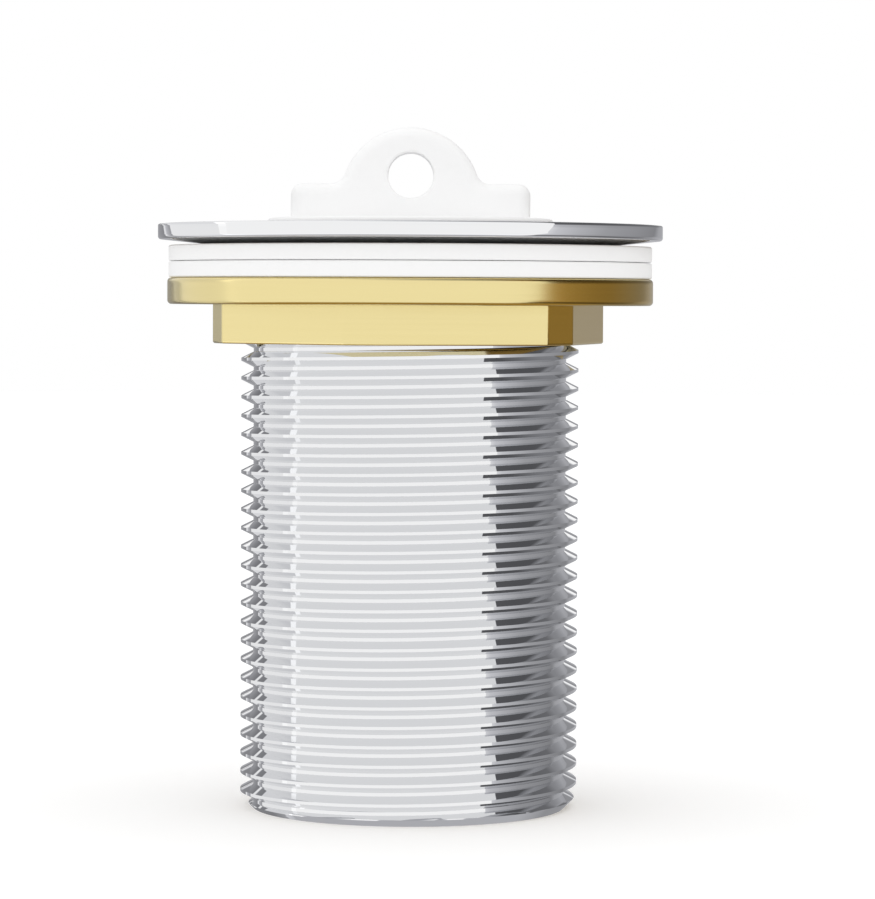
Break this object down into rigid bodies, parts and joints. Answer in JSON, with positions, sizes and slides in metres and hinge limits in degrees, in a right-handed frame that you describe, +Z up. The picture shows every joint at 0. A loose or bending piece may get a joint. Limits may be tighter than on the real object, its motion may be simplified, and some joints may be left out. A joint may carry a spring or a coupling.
{
  "type": "basin waste",
  "caption": "Flanged basin waste with a threaded chromed tail, a white tapered plug with a chain tab, flat white washers and a brass flanged back nut.",
  "frame": {"origin": "on the waste's axis, at the end of the tail that it stands on", "axes": "+Z up along the waste's axis, from the tail's end to the flange and plug; X along the plug's tab"},
  "size_m": [0.0621, 0.062, 0.0838],
  "materials": {
    "chrome_plate": "polished chrome plate on brass",
    "white_plug": "smooth moulded white",
    "white_washer": "smooth white sheet",
    "brass": "bright machined brass"
  },
  "bodies": {
    "waste": {"waste_body": "chrome_plate", "plug": "white_plug"},
    "washers": {"upper_washer": "white_washer", "lower_washer": "white_washer"},
    "nut": {"flanged_nut": "brass"}
  },
  "joints": [
    {"name": "washer_slide", "type": "slide", "parent": "waste", "child": "washers", "axis": [0, 0, 1], "range_m": [-0.0555, 0]},
    {"name": "nut_turn", "type": "hinge", "parent": "washers", "child": "nut", "pos_m": [0, 0, 0.06125], "axis": [0, 0, 1], "range_deg": [-8640, 0]}
  ],
  "couplings": [
    {"joint": "washer_slide", "follows": "nut_turn", "m_per_rad": 0.00036749}
  ]
}
